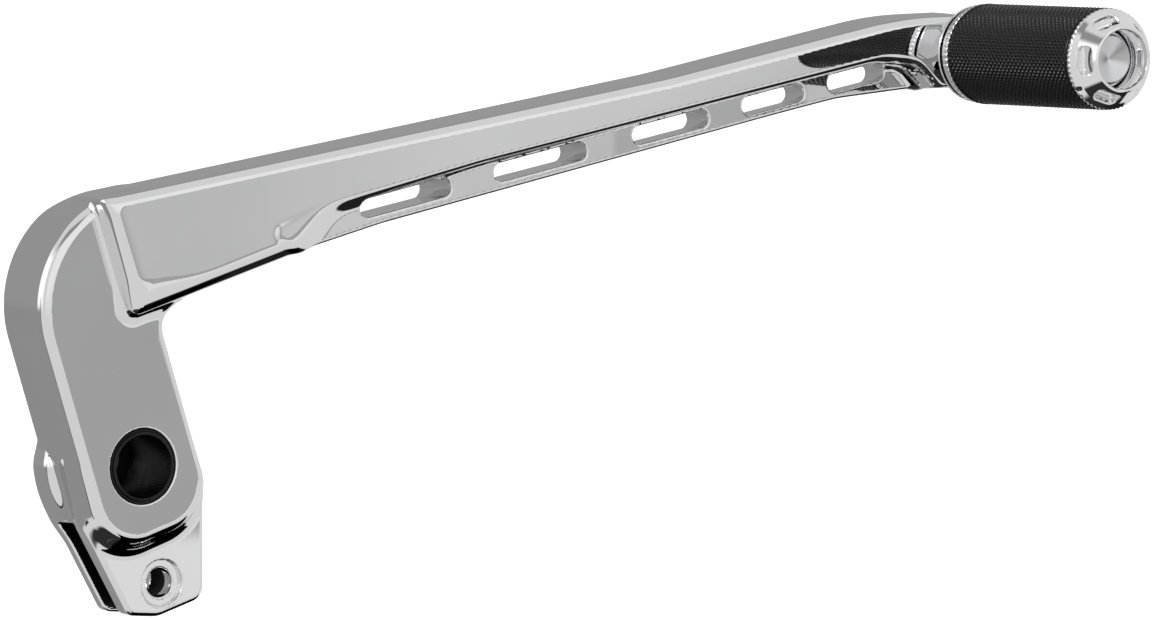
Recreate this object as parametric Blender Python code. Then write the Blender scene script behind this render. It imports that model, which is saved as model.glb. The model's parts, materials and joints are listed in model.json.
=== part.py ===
"""Motorcycle toe-shift lever with a rolling rubber toe peg.

Frame: the origin is the middle of the pivot bore, on its axis. X runs along the arm towards the
toe peg, Y runs inboard along the pivot axis and Z is up. The lever turns about Y at the origin and
the toe peg turns about a parallel axis at the far end of the arm. Sizes are in millimetres, and
MM turns them into Blender's metres.
"""
import math

import bmesh
import bpy
from mathutils import Matrix, Vector

MM = 0.001
GAP = 0.3            # daylight kept between two pieces that touch on the real part
FIT = 0.06           # radial daylight of a pressed or bonded fit
RUN = 0.1            # radial daylight of a running fit
ROUND = 56           # facets round a turned piece

# Hub, seen along the pivot axis. Its long axis leans HUB_LEAN from the vertical.
HUB_LEAN = math.radians(17.6)
HUB_HALF = 18.0      # half width of the hub plate
HUB_FOOT = 20.5      # from the pivot axis down to the hub's lower end
HUB_FRONT = -12.0
HUB_BACK = 10.5
HUB_EDGE = 3.0       # round of the hub's front edge
BOSS_RADIUS = 20.8   # round boss at the back of the pivot bore
BOSS_FRONT = 4.0
BOSS_BACK = 11.5
BORE_RADIUS = 10.2

# Clevis, the fork under the hub that takes the linkage's rod end
EAR_FRONT = -6.4
EAR_BACK = 10.5
SLOT_FRONT = -0.7
SLOT_BACK = 6.3
SLOT_TOP = -17.0
PIN = (9.1, -32.8)
PIN_RADIUS = 4.0
PIN_SINK_RADIUS = 6.3
PIN_SINK_DEPTH = 1.5

# Arm: a deep bar that stands proud of the hub, with a thinner web and a row of slots under it
ARM_FRONT = -19.0
ARM_BACK = 3.0
ARM_ROUND = 4.0      # depth of the round at the front and back edges of the bar
ARM_STEPS = 6
PEG = (268.8, 103.1)
PEG_TILT = math.radians(1.5)  # the peg's outer end stands this much higher than its root
WEB_NEAR = -18.4     # front of the web at WEB_START, then where it runs level, from WEB_LEVEL on
WEB_FAR = -7.0
WEB_START = 30.0
WEB_LEVEL = 215.0
WEB_SLOPE = 0.1775   # rise of the web's lower edge along the arm
SLOT_HALF = 2.55
SLOT_TILT = math.radians(5.0)
SLOTS = ((82.3, 31.0), (128.2, 32.3), (173.4, 27.0), (209.5, 22.0), (238.3, 19.6))
SLOT_LIFT = 4.6      # slot centres above the web's lower edge, at the depth SLOT_MIDDLE
SLOT_MIDDLE = -6.45

# Pivot lining
SLEEVE_FRONT = -12.3
SLEEVE_BACK = 11.8
SLEEVE_OUTER = 9.4
SLEEVE_INNER = 8.7
SLEEVE_LIP = 5.5     # radius inside the inward lip at the sleeve's rear end
LIP_LENGTH = 1.5
BUSHING_OUTER = BORE_RADIUS - FIT
BUSHING_INNER = SLEEVE_OUTER + RUN
BUSHING_LENGTH = 10.0
BUSHING_INSET = 0.2
CHAMFER = 0.2        # small chamfer on turned edges
SMOOTH_ANGLE = math.radians(32.0)  # sharper edges than this stay crisp

# Toe peg. Distances are measured along its axis, outwards from the arm's front face.
BOLT_FLOOR = 11.5    # seat of the bolt's washer, inwards from the arm's front face
BOLT_SINK_RADIUS = 7.2
BOLT_HOLE_RADIUS = 4.3
BOLT_RADIUS = 4.0
BOLT_HEAD_RADIUS = 6.5
BOLT_HEAD = 8.0
BOLT_END = 20.3
BOLT_EDGE = 0.6
SOCKET_RADIUS = 3.4
SOCKET_DEPTH = 4.0
LOCK_WASHER = 1.6
NECK_END = 5.0
NECK_FOOT = 8.9      # the neck flares from this radius at the arm to NECK_RIM at the collar
NECK_RIM = 13.8
NECK_LAND = 0.7      # width of the neck's rim
AXLE_RADIUS = 6.0
THRUST_WASHER = 0.8
THRUST_RADIUS = 12.4
COLLAR_START = NECK_END + THRUST_WASHER + 2.0 * GAP
COLLAR_RADIUS = 13.8
COLLAR_RIM = 14.2
COLLAR_RIM_LENGTH = 1.7
GRIP_START = 9.3
GRIP_END = 65.9
GRIP_RADIUS = 14.3
GRIP_INNER = 11.6
CORE_RADIUS = GRIP_INNER - FIT
CORE_BORE = 8.0
CORE_SINK = 9.9      # counterbores at both ends of the core, for the collar and the cap
BUSH_OUTER = CORE_BORE - FIT
BUSH_INNER = AXLE_RADIUS + RUN
BUSH_FLANGE = 1.2
BUSH_LENGTH = 12.0
INNER_BUSH_FACE = 11.3
HEAD_RADIUS = 7.0
OUTER_THRUST_RADIUS = HEAD_RADIUS + 0.6
HEAD_FACE = 67.9
HEAD_LENGTH = 3.8
HEAD_EDGE = 0.7
FLANGE_RADIUS = 8.1  # flange under the head, just inside the cap's mouth
FLANGE_LENGTH = 1.7
OUTER_BUSH_FACE = HEAD_FACE - HEAD_LENGTH - THRUST_WASHER - 2.0 * GAP
DISH_RADIUS = 6.0
DISH_DEPTH = 1.3
CAP_START = GRIP_END + GAP
CAP_LIP = 73.7
CAP_MOUTH = 8.3
CAP_PLATE = 2.3      # thickness of the plate across the cap, under its cone
CAP_SPIGOT = 3.0
CAP_WALL = 1.5
CAP_RIM = 0.9        # straight part of the cap's rim
CONE_FOOT = (12.7, 68.5)  # (radius, distance) where the cone starts, above the chamfered rim
CONE_TOP = (9.2, 73.5)
WINDOWS = 5
WINDOW_WIDE = 4.2    # along the cone
WINDOW_TALL = 7.6    # round the cone
WINDOW_REACH = 4.8   # length of the cutter that makes a window
WINDOW_CORNER = 1.0
WINDOW_MIDDLE = 0.42  # place of a window's middle, from the cone's foot to its top
SCALLOPS = 30
SCALLOP_DEPTH = 0.35
SCALLOP_RADIUS = 0.6
SCREW_RADIUS = 0.75
SCREW_START = GRIP_RADIUS - 3.1
SCREW_FACE = GRIP_RADIUS - 0.9
SCREW_DISTANCE = 67.3
SCREW_TURN = math.radians(-36.0)  # between two windows


def clear_scene():
    """Remove every object, so that the script also runs twice in one file."""
    for item in list(bpy.data.objects):
        bpy.data.objects.remove(item, do_unlink=True)


def make_material(name, colour, roughness, metallic):
    """Return a Principled material."""
    material = bpy.data.materials.new(name)
    material.use_nodes = True
    shader = material.node_tree.nodes["Principled BSDF"]
    shader.inputs["Base Color"].default_value = (*colour, 1.0)
    shader.inputs["Roughness"].default_value = roughness
    shader.inputs["Metallic"].default_value = metallic
    material.diffuse_color = (*colour, 1.0)
    return material


def make_object(name, bm, material=None):
    """Turn a bmesh in millimetres into an object, with its faces pointing out."""
    bmesh.ops.recalc_face_normals(bm, faces=bm.faces)
    bmesh.ops.scale(bm, vec=(MM, MM, MM), verts=bm.verts)
    mesh = bpy.data.meshes.new(name)
    bm.to_mesh(mesh)
    bm.free()
    item = bpy.data.objects.new(name, mesh)
    bpy.context.collection.objects.link(item)
    if material is not None:
        mesh.materials.append(material)
        mesh.shade_smooth()
        mesh.set_sharp_from_angle(angle=SMOOTH_ANGLE)
    return item


def rounded(corners, steps=8):
    """Return an outline from corners (x, z, radius), each round made of the same number of steps."""
    outline = []
    for index, (x, z, radius) in enumerate(corners):
        corner = Vector((x, z))
        before = (Vector(corners[index - 1][:2]) - corner).normalized()
        after = (Vector(corners[(index + 1) % len(corners)][:2]) - corner).normalized()
        half = before.angle(after) / 2.0
        middle = corner + (before + after).normalized() * (radius / math.sin(half))
        start = corner + before * (radius / math.tan(half)) - middle
        turn = start.angle_signed(corner + after * (radius / math.tan(half)) - middle)
        for step in range(steps + 1):
            outline.append(middle + Matrix.Rotation(-turn * step / steps, 2) @ start)
    return outline


def loft(name, sections, material=None):
    """Join outlines in XZ, given as (y, outline) from front to back, into one closed solid."""
    bm = bmesh.new()
    rings = [[bm.verts.new((x, y, z)) for x, z in outline] for y, outline in sections]
    for near, far in zip(rings, rings[1:]):
        for index in range(len(near)):
            after = (index + 1) % len(near)
            bm.faces.new((near[index], near[after], far[after], far[index]))
    bm.faces.new(rings[0])
    bm.faces.new(rings[-1])
    return make_object(name, bm, material)


def turned(name, profile, material=None):
    """Spin a closed profile of (radius, y) points about the Y axis."""
    bm = bmesh.new()
    verts = [bm.verts.new((radius, y, 0.0)) for radius, y in profile]
    for index in range(len(verts)):
        bm.edges.new((verts[index - 1], verts[index]))
    bmesh.ops.spin(bm, geom=bm.verts[:] + bm.edges[:], cent=(0, 0, 0), axis=(0, 1, 0),
                   angle=math.tau, steps=ROUND, use_merge=True)
    bmesh.ops.remove_doubles(bm, verts=bm.verts, dist=0.0001)
    bmesh.ops.dissolve_degenerate(bm, edges=bm.edges, dist=0.0001)
    axis_edges = [edge for edge in bm.edges if not edge.link_faces]
    bmesh.ops.delete(bm, geom=axis_edges, context="EDGES")
    return make_object(name, bm, material)


def rod(name, radius, start, end, centre=(0.0, 0.0), material=None):
    """Return a plain cylinder along Y."""
    bm = bmesh.new()
    bmesh.ops.create_cone(bm, cap_ends=True, segments=ROUND, radius1=radius, radius2=radius,
                          depth=end - start, matrix=Matrix.Rotation(math.radians(90.0), 4, "X"))
    item = make_object(name, bm, material)
    item.location = (centre[0] * MM, (start + end) / 2.0 * MM, centre[1] * MM)
    return item


def bevel(item, width, segments=4, angle=50.0):
    """Round the edges of a solid that are sharper than the angle."""
    modifier = item.modifiers.new("edge_round", "BEVEL")
    modifier.width = width * MM
    modifier.segments = segments
    modifier.limit_method = "ANGLE"
    modifier.angle_limit = math.radians(angle)
    modifier.use_clamp_overlap = True


def combine(item, other, operation):
    """Join or cut with another solid, which then stays out of the part."""
    modifier = item.modifiers.new(other.name, "BOOLEAN")
    modifier.operation = operation
    modifier.solver = "EXACT"
    modifier.object = other
    other.hide_render = True
    other.display_type = "WIRE"


def hub_point(across, along):
    """Return (x, z) of a point in the hub's own leaning axes."""
    x = across * math.cos(HUB_LEAN) - along * math.sin(HUB_LEAN)
    z = across * math.sin(HUB_LEAN) + along * math.cos(HUB_LEAN)
    return x, z


def hub_plate():
    """Return the leaning plate that holds the pivot bore."""
    corners = [
        (*hub_point(-HUB_HALF, -HUB_FOOT), 14.0),
        (*hub_point(HUB_HALF, -HUB_FOOT), 14.0),
        (*hub_point(HUB_HALF, 34.5), 7.0),
        (13.5, 48.5, 5.0),
        (3.0, 75.5, 5.0),
        (-40.9, 69.1, 31.0),
    ]
    outline = rounded(corners, 12)
    plate = loft("hub_plate", [(HUB_FRONT, outline), (HUB_BACK, outline)])
    bevel(plate, HUB_EDGE, 5)
    return plate


def back_relief():
    """Return the wedge that blends the hub's back into the arm's thinner back."""
    plan = [(2.0, HUB_BACK + 0.2), (17.0, ARM_BACK), (60.0, ARM_BACK), (60.0, 40.0), (2.0, 40.0)]
    bm = bmesh.new()
    base = bm.faces.new([bm.verts.new((x, y, 46.0)) for x, y in plan])
    raised = bmesh.ops.extrude_face_region(bm, geom=[base])["geom"]
    corners = [item for item in raised if isinstance(item, bmesh.types.BMVert)]
    bmesh.ops.translate(bm, vec=(0.0, 0.0, 60.0), verts=corners)
    wedge = make_object("back_relief", bm)
    wedge.rotation_euler = (0.0, -HUB_LEAN, 0.0)
    return wedge


def clevis_block():
    """Return the solid block of the fork, before its slot is cut."""
    corners = [
        (-8.0, 10.0, 2.0),
        (-18.6, 0.0, 2.0),
        (-15.1, -16.4, 10.0),
        (-1.2, -41.2, 3.5),
        (8.0, -42.0, 8.0),
        (22.5, -37.6, 4.5),
        (22.5, -4.0, 8.0),
        (16.0, 5.0, 2.0),
    ]
    outline = rounded(corners, 8)
    block = loft("clevis_block", [(EAR_FRONT, outline), (EAR_BACK, outline)])
    bevel(block, 1.2, 3)
    return block


def arm_bar():
    """Return the bar: a flat front face, rounded over into its full outline, and a flat back."""
    face = [
        (-11.6, 70.9, 2.0), (-4.9, 51.3, 3.0), (14.0, 52.2, 50.0), (43.0, 61.0, 10.0),
        (52.5, 69.4, 18.0), (105.0, 79.8, 200.0), (242.0, 104.3, 25.0), (251.5, 103.0, 12.0),
        (261.6, 94.4, 1.0), (278.0, 94.4, 8.6), (278.0, 112.3, 8.6), (247.0, 111.1, 120.0),
        (170.0, 97.1, 200.0),
    ]
    full = [
        (-14.8, 73.2, 2.0), (-5.2, 40.9, 3.0), (20.0, 48.3, 50.0), (46.5, 56.0, 10.0),
        (57.5, 67.0, 18.0), (105.0, 77.8, 200.0), (238.0, 101.2, 30.0), (252.5, 100.2, 9.0),
        (259.6, 93.0, 1.0), (279.4, 93.0, 10.3), (279.4, 113.9, 10.3), (247.0, 113.6, 120.0),
        (170.0, 99.7, 200.0),
    ]
    inner = rounded(face)
    outer = rounded(full)
    front = []
    back = []
    for step in range(ARM_STEPS + 1):
        turn = math.radians(90.0) * step / ARM_STEPS
        outline = [a.lerp(b, math.sin(turn)) for a, b in zip(inner, outer)]
        depth = ARM_ROUND * (1.0 - math.cos(turn))
        front.append((ARM_FRONT + depth, outline))
        back.append((ARM_BACK - depth, outline))
    return loft("arm_bar", front + back[::-1])


def web_bottom(x):
    """Return the height of the web's lower edge."""
    return 62.9 + (x - 75.0) * WEB_SLOPE


def arm_web():
    """Return the web under the bar, thinned from the front towards the toe end."""
    outline = rounded([
        (36.0, 62.0, 2.0), (47.0, 56.6, 4.0), (75.0, web_bottom(75.0), 60.0),
        (232.0, web_bottom(232.0), 60.0), (264.0, 93.2, 2.0), (266.0, 107.0, 2.0),
        (62.0, 73.0, 4.0),
    ])
    web = loft("arm_web", [(ARM_FRONT + 1.0, outline), (ARM_BACK, outline)])
    bevel(web, 0.8, 2)
    plan = [(WEB_START, -30.0), (300.0, -30.0), (300.0, WEB_FAR), (WEB_LEVEL, WEB_FAR),
            (WEB_START, WEB_NEAR)]
    bm = bmesh.new()
    base = bm.faces.new([bm.verts.new((x, y, 40.0)) for x, y in plan])
    raised = bmesh.ops.extrude_face_region(bm, geom=[base])["geom"]
    corners = [item for item in raised if isinstance(item, bmesh.types.BMVert)]
    bmesh.ops.translate(bm, vec=(0.0, 0.0, 90.0), verts=corners)
    combine(web, make_object("web_relief", bm), "DIFFERENCE")
    return web


def slot_cutter(index, x, length):
    """Return one stadium-shaped cutter, tilted down towards the back."""
    reach = length / 2.0
    corners = [
        (-reach, -SLOT_HALF, SLOT_HALF * 0.999), (reach, -SLOT_HALF, SLOT_HALF * 0.999),
        (reach, SLOT_HALF, SLOT_HALF * 0.999), (-reach, SLOT_HALF, SLOT_HALF * 0.999),
    ]
    outline = rounded(corners)
    cutter = loft(f"arm_slot_{index}", [(-25.0, outline), (25.0, outline)])
    cutter.location = (x * MM, SLOT_MIDDLE * MM, (web_bottom(x) + SLOT_LIFT) * MM)
    lean = math.atan(WEB_SLOPE)
    cutter.rotation_euler = (-SLOT_TILT, -lean, 0.0)
    return cutter


def clevis_cutter():
    """Return the cutter for the fork's slot."""
    corners = [(-40.0, -60.0, 1.0), (50.0, -60.0, 1.0), (50.0, SLOT_TOP + 5.0, 1.0), (-40.0, SLOT_TOP, 1.0)]
    outline = rounded(corners)
    return loft("clevis_slot", [(SLOT_FRONT, outline), (SLOT_BACK, outline)])


def lever_body(material):
    """Return the one-piece lever: hub, fork, arm and toe boss, with every hole cut."""
    body = hub_plate()
    body.name = "lever_body"
    body.data.materials.append(material)
    body.data.shade_smooth()
    combine(body, back_relief(), "DIFFERENCE")
    boss = rod("pivot_boss", BOSS_RADIUS, BOSS_FRONT, BOSS_BACK)
    bevel(boss, 1.0, 2)
    for piece in (boss, clevis_block(), arm_web(), arm_bar()):
        combine(body, piece, "UNION")
    combine(body, rod("pivot_bore", BORE_RADIUS, -40.0, 40.0), "DIFFERENCE")
    combine(body, clevis_cutter(), "DIFFERENCE")
    combine(body, rod("pin_hole", PIN_RADIUS, -40.0, 40.0, PIN), "DIFFERENCE")
    sink = rod("pin_sink", PIN_SINK_RADIUS, -40.0, EAR_FRONT + PIN_SINK_DEPTH, PIN)
    combine(body, sink, "DIFFERENCE")
    for index, (x, length) in enumerate(SLOTS, start=1):
        combine(body, slot_cutter(index, x, length), "DIFFERENCE")
    combine(body, on_peg(rod("bolt_hole", BOLT_HOLE_RADIUS, -40.0, 60.0)), "DIFFERENCE")
    combine(body, on_peg(rod("bolt_sink", BOLT_SINK_RADIUS, BOLT_FLOOR, 60.0)), "DIFFERENCE")
    return body


def tube(inner, outer, start, end, chamfer=CHAMFER):
    """Return the closed profile of a ring with small chamfers on its outer edges."""
    return [
        (inner, start), (outer - chamfer, start), (outer, start + chamfer),
        (outer, end - chamfer), (outer - chamfer, end), (inner, end),
    ]


def pivot_lining(steel, polymer):
    """Make the sleeve that the lever turns on and its two bushings."""
    front = HUB_FRONT + BUSHING_INSET
    rear = BOSS_BACK - BUSHING_INSET
    lip = [(SLEEVE_LIP, SLEEVE_BACK), (SLEEVE_LIP, SLEEVE_BACK - LIP_LENGTH),
           (SLEEVE_INNER, SLEEVE_BACK - LIP_LENGTH)]
    barrel = tube(SLEEVE_INNER, SLEEVE_OUTER, SLEEVE_FRONT, SLEEVE_BACK)
    turned("pivot_sleeve", barrel[:-1] + lip, steel)
    turned("front_pivot_bushing", tube(BUSHING_INNER, BUSHING_OUTER, front, front + BUSHING_LENGTH), polymer)
    turned("rear_pivot_bushing", tube(BUSHING_INNER, BUSHING_OUTER, rear - BUSHING_LENGTH, rear), polymer)


def on_peg(item):
    """Hang a piece on the peg's own axis. Its y is the distance outwards, with the sign changed."""
    axis = bpy.data.objects.get("peg_axis")
    if axis is None:
        axis = bpy.data.objects.new("peg_axis", None)
        bpy.context.collection.objects.link(axis)
        axis.location = (PEG[0] * MM, ARM_FRONT * MM, PEG[1] * MM)
        axis.rotation_euler = (-PEG_TILT, 0.0, 0.0)
    item.parent = axis
    return item


def peg_turned(name, profile, material):
    """Spin a profile of (radius, distance outwards) about the peg's axis."""
    return on_peg(turned(name, [(radius, -distance) for radius, distance in profile], material))


def peg_bolt(material):
    """Make the socket-head bolt that holds the peg's axle from behind the arm."""
    seat = BOLT_FLOOR + LOCK_WASHER + 2.0 * GAP
    head = seat + BOLT_HEAD
    edge = BOLT_EDGE
    bolt = peg_turned("peg_mount_bolt", [
        (0.0, BOLT_END), (BOLT_RADIUS - edge, BOLT_END), (BOLT_RADIUS, BOLT_END - edge),
        (BOLT_RADIUS, -seat), (BOLT_HEAD_RADIUS, -seat), (BOLT_HEAD_RADIUS, edge - head),
        (BOLT_HEAD_RADIUS - edge, -head), (0.0, -head),
    ], material)
    bm = bmesh.new()
    bmesh.ops.create_cone(bm, cap_ends=True, segments=6, radius1=SOCKET_RADIUS, radius2=SOCKET_RADIUS,
                          depth=2.0 * SOCKET_DEPTH, matrix=Matrix.Rotation(math.radians(90.0), 4, "X"))
    key = on_peg(make_object("bolt_socket", bm))
    key.location = (0.0, head * MM, 0.0)
    combine(bolt, key, "DIFFERENCE")


def lock_washer(material):
    """Make the lock washer under the bolt's head."""
    start = BOLT_FLOOR + GAP
    profile = tube(BOLT_HOLE_RADIUS, BOLT_HEAD_RADIUS, -start - LOCK_WASHER, -start)
    peg_turned("peg_lock_washer", profile, material)


def neck_spacer(material):
    """Make the spacer between the arm and the peg, flared out like a bell."""
    steps = 8
    land = NECK_END - NECK_LAND
    profile = [(BOLT_HOLE_RADIUS, GAP)]
    for step in range(steps + 1):
        along = step / steps
        flare = NECK_FOOT + (NECK_RIM - NECK_FOOT) * along ** 1.4
        profile.append((flare, GAP + (land - GAP) * along))
    profile += [(NECK_RIM, NECK_END - CHAMFER), (NECK_RIM - CHAMFER, NECK_END), (BOLT_HOLE_RADIUS, NECK_END)]
    peg_turned("neck_spacer", profile, material)


def peg_axle(material):
    """Make the axle: tapped at the arm end, with a dished head at the outer end."""
    near = NECK_END + GAP
    tapped = BOLT_END + 2.0
    shoulder = HEAD_FACE - HEAD_LENGTH
    flange = shoulder + FLANGE_LENGTH
    edge = HEAD_RADIUS - HEAD_EDGE
    peg_turned("peg_axle", [
        (BOLT_HOLE_RADIUS, near), (AXLE_RADIUS, near), (AXLE_RADIUS, shoulder),
        (FLANGE_RADIUS, shoulder), (FLANGE_RADIUS, flange), (HEAD_RADIUS, flange),
        (HEAD_RADIUS, HEAD_FACE - HEAD_EDGE), (edge, HEAD_FACE), (DISH_RADIUS, HEAD_FACE),
        (0.6, HEAD_FACE - DISH_DEPTH), (0.0, HEAD_FACE - DISH_DEPTH), (0.0, tapped),
        (BOLT_HOLE_RADIUS, tapped),
    ], material)


def thrust_washers(material):
    """Make the washers that the rolling peg's ends bear on."""
    inner = NECK_END + GAP
    outer = HEAD_FACE - HEAD_LENGTH - GAP
    profile = tube(BUSH_INNER, THRUST_RADIUS, inner, inner + THRUST_WASHER, CHAMFER / 2.0)
    peg_turned("inner_thrust_washer", profile, material)
    profile = tube(BUSH_INNER, OUTER_THRUST_RADIUS, outer - THRUST_WASHER, outer, CHAMFER / 2.0)
    peg_turned("outer_thrust_washer", profile, material)


def peg_bush(name, face, sense, material):
    """Make one flanged bush, its flange at face and its barrel running on in the sense +1 or -1."""
    flange = face + sense * BUSH_FLANGE
    end = face + sense * BUSH_LENGTH
    peg_turned(name, [
        (BUSH_INNER, face), (BUSH_OUTER + BUSH_FLANGE, face), (BUSH_OUTER + BUSH_FLANGE, flange),
        (BUSH_OUTER, flange), (BUSH_OUTER, end), (BUSH_INNER, end),
    ], material)


def peg_core(material):
    """Make the tube that carries the grip, counterbored at both ends."""
    near_step = INNER_BUSH_FACE + BUSH_FLANGE + GAP
    far_step = OUTER_BUSH_FACE - BUSH_FLANGE - GAP
    end = GRIP_END - GAP
    peg_turned("peg_core", [
        (CORE_SINK, GRIP_START), (CORE_RADIUS, GRIP_START), (CORE_RADIUS, end), (CORE_SINK, end),
        (CORE_SINK, far_step), (CORE_BORE, far_step), (CORE_BORE, near_step), (CORE_SINK, near_step),
    ], material)


def rubber_grip(material):
    """Make the rubber sleeve."""
    peg_turned("rubber_grip", tube(GRIP_INNER, GRIP_RADIUS, GRIP_START, GRIP_END, 0.6), material)


def cap_windows():
    """Return one object with a ring of slanted blocks, one through each window of the cap."""
    foot = Vector(CONE_FOOT)
    along = Vector(CONE_TOP) - foot
    middle = foot + along * WINDOW_MIDDLE
    slope = math.atan2(-along.x, along.y)
    bm = bmesh.new()
    for index in range(WINDOWS):
        angle = math.pi + math.tau * index / WINDOWS
        outward = Vector((math.cos(angle), 0.0, math.sin(angle))) * middle.x
        place = Matrix.Translation(outward - Vector((0.0, middle.y, 0.0)))
        slant = Matrix.Rotation(-angle, 4, "Y") @ Matrix.Rotation(-slope, 4, "Z")
        size = Matrix.Diagonal((WINDOW_REACH, WINDOW_WIDE, WINDOW_TALL, 1.0))
        bmesh.ops.create_cube(bm, size=1.0, matrix=place @ slant @ size)
    cutter = on_peg(make_object("cap_windows", bm))
    bevel(cutter, WINDOW_CORNER, 2)
    return cutter


def scallops(name, radius, start, end):
    """Return a ring of small round cutters that serrate a rim."""
    bm = bmesh.new()
    reach = radius + SCALLOP_RADIUS - SCALLOP_DEPTH
    turn = Matrix.Rotation(math.radians(90.0), 4, "X")
    for index in range(SCALLOPS):
        angle = math.tau * (index + 0.5) / SCALLOPS
        place = Matrix.Translation((reach * math.cos(angle), -(start + end) / 2.0, reach * math.sin(angle)))
        bmesh.ops.create_cone(bm, cap_ends=True, segments=6, radius1=SCALLOP_RADIUS,
                              radius2=SCALLOP_RADIUS, depth=end - start, matrix=place @ turn)
    return on_peg(make_object(name, bm))


def inner_collar(material):
    """Make the chromed collar between the neck and the grip, pressed into the core."""
    end = GRIP_START - GAP
    rim = end - COLLAR_RIM_LENGTH
    bore = BUSH_INNER + 0.4
    spigot = INNER_BUSH_FACE - GAP
    collar = peg_turned("inner_collar", [
        (bore, COLLAR_START), (COLLAR_RADIUS - CHAMFER, COLLAR_START),
        (COLLAR_RADIUS, COLLAR_START + CHAMFER),
        (COLLAR_RADIUS, rim), (COLLAR_RIM, rim), (COLLAR_RIM, end), (CORE_SINK - FIT, end),
        (CORE_SINK - FIT, spigot), (bore, spigot),
    ], material)
    combine(collar, scallops("collar_scallops", COLLAR_RIM, rim - 1.0, end + 1.0), "DIFFERENCE")


def radial_rod(name, radius, start, end, material=None):
    """Return a rod across the cap's rim that points away from the peg's axis."""
    bm = bmesh.new()
    around = Matrix.Rotation(SCREW_TURN, 4, "Y")
    place = Matrix.Translation((-(start + end) / 2.0, -SCREW_DISTANCE, 0.0))
    turn = Matrix.Rotation(math.radians(-90.0), 4, "Y")
    bmesh.ops.create_cone(bm, cap_ends=True, segments=24, radius1=radius, radius2=radius,
                          depth=end - start, matrix=around @ place @ turn)
    return on_peg(make_object(name, bm, material))


def end_cap(material):
    """Make the conical cap: a scalloped rim, five windows and an open mouth."""
    plate = CAP_START + CAP_PLATE
    spigot = CAP_START - CAP_SPIGOT
    mouth = CAP_LIP - CAP_WALL
    inside = CONE_FOOT[0] - CAP_WALL
    cap = peg_turned("end_cap", [
        (CAP_MOUTH, spigot), (CORE_SINK - FIT, spigot), (CORE_SINK - FIT, CAP_START),
        (GRIP_RADIUS, CAP_START), (GRIP_RADIUS, CAP_START + CAP_RIM), CONE_FOOT, CONE_TOP,
        (CAP_MOUTH + GAP, CAP_LIP), (CAP_MOUTH, CAP_LIP - GAP), (CAP_MOUTH, mouth), (inside, plate),
        (CAP_MOUTH, plate),
    ], material)
    grooves = scallops("cap_scallops", GRIP_RADIUS, CAP_START - 1.0, CAP_START + CAP_RIM + 0.6)
    combine(cap, grooves, "DIFFERENCE")
    combine(cap, cap_windows(), "DIFFERENCE")
    hole = radial_rod("cap_screw_hole", SCREW_RADIUS + 2.0 * FIT, SCREW_START - GAP, GRIP_RADIUS + 3.0)
    combine(cap, hole, "DIFFERENCE")


def cap_set_screw(material):
    """Make the grub screw that locks the cap."""
    radial_rod("cap_set_screw", SCREW_RADIUS, SCREW_START, SCREW_FACE, material)


def main():
    """Build the whole lever."""
    clear_scene()
    chrome = make_material("polished_chrome", (0.80, 0.80, 0.81), 0.05, 1.0)
    cap_chrome = make_material("bright_chrome", (0.84, 0.84, 0.85), 0.07, 1.0)
    steel = make_material("black_steel", (0.03, 0.03, 0.033), 0.35, 1.0)
    zinc = make_material("zinc_steel", (0.55, 0.56, 0.58), 0.3, 1.0)
    polymer = make_material("black_polymer", (0.02, 0.02, 0.022), 0.45, 0.0)
    bronze = make_material("bronze_bush", (0.60, 0.42, 0.22), 0.35, 1.0)
    aluminium = make_material("turned_aluminium", (0.72, 0.73, 0.74), 0.3, 1.0)
    rubber = make_material("knurled_rubber", (0.022, 0.022, 0.025), 0.6, 0.0)
    lever_body(chrome)
    pivot_lining(steel, polymer)
    peg_bolt(zinc)
    lock_washer(zinc)
    neck_spacer(cap_chrome)
    peg_axle(cap_chrome)
    thrust_washers(polymer)
    peg_bush("inner_peg_bush", INNER_BUSH_FACE, 1.0, bronze)
    peg_bush("outer_peg_bush", OUTER_BUSH_FACE, -1.0, bronze)
    peg_core(aluminium)
    rubber_grip(rubber)
    inner_collar(cap_chrome)
    end_cap(cap_chrome)
    cap_set_screw(steel)


main()
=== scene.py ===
"""Looks of the toe-shift lever: fine chrome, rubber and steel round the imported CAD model.

Shapes are worked out in millimetres, in the CAD frame, and MM turns them into metres. The chromed
pieces are made from signed distances: a piece is a function that says how far a point is from its
surface, negative inside, and make_surface turns it into a mesh with exact smooth normals.
"""
import json
import math

import bpy
import numpy as np
from mathutils import Matrix, Vector

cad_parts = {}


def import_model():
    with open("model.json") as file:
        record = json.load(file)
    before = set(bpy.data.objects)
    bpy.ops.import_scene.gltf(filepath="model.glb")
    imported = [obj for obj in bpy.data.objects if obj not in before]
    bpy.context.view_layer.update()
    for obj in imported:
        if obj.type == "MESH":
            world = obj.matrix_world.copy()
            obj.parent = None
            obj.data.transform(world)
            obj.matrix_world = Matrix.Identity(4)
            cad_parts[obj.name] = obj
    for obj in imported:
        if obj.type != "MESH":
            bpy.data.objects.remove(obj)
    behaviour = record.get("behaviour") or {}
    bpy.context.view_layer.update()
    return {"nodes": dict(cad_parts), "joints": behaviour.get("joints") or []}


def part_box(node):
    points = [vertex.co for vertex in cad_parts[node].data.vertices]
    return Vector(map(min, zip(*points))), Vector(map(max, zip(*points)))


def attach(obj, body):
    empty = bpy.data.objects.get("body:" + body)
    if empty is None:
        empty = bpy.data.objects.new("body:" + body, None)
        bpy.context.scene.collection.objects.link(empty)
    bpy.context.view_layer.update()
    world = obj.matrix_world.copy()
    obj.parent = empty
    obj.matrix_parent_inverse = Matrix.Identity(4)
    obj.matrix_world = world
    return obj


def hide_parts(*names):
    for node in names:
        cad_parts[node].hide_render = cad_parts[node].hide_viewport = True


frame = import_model()

MM = 0.001
JOINTS = {joint["name"]: joint for joint in frame["joints"]}

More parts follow.
